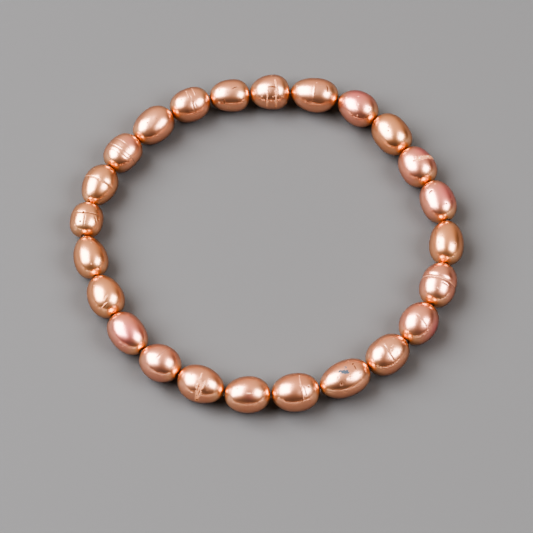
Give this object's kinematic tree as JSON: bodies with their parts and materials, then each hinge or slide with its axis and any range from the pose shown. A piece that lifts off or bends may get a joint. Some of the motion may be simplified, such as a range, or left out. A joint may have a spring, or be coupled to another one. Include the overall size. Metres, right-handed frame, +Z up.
{
  "type": "pearl bracelet",
  "caption": "Stretch bracelet of oval freshwater pearls in peach, rose and gold tints, drilled lengthwise and threaded edge to edge on a clear elastic loop, lying flat.",
  "frame": {"origin": "on the surface that the ring lies on, below the middle of the ring's box", "axes": "+Z up, the wrist's way through the ring; +X along the ring's longest extent; -Y towards the picture's camera"},
  "size_m": [0.0692, 0.0656, 0.0066],
  "materials": {
    "peach_nacre": "peach nacre with a metallic lustre",
    "rose_nacre": "rose nacre with a metallic lustre",
    "gold_nacre": "gold nacre with a metallic lustre",
    "clear_elastic": "clear stretch cord"
  },
  "bodies": {
    "root": {"pearl_01": "peach_nacre", "pearl_02": "peach_nacre", "pearl_03": "rose_nacre", "pearl_04": "gold_nacre", "pearl_05": "rose_nacre", "pearl_06": "rose_nacre", "pearl_07": "gold_nacre", "pearl_08": "rose_nacre", "pearl_09": "rose_nacre", "pearl_10": "peach_nacre", "pearl_11": "peach_nacre", "pearl_12": "peach_nacre", "pearl_13": "peach_nacre", "pearl_14": "peach_nacre", "pearl_15": "rose_nacre", "pearl_16": "rose_nacre", "pearl_17": "gold_nacre", "pearl_18": "gold_nacre", "pearl_19": "gold_nacre", "pearl_20": "gold_nacre", "pearl_21": "peach_nacre", "pearl_22": "peach_nacre", "pearl_23": "peach_nacre", "pearl_24": "peach_nacre", "elastic_thread": "clear_elastic"}
  },
  "joints": []
}
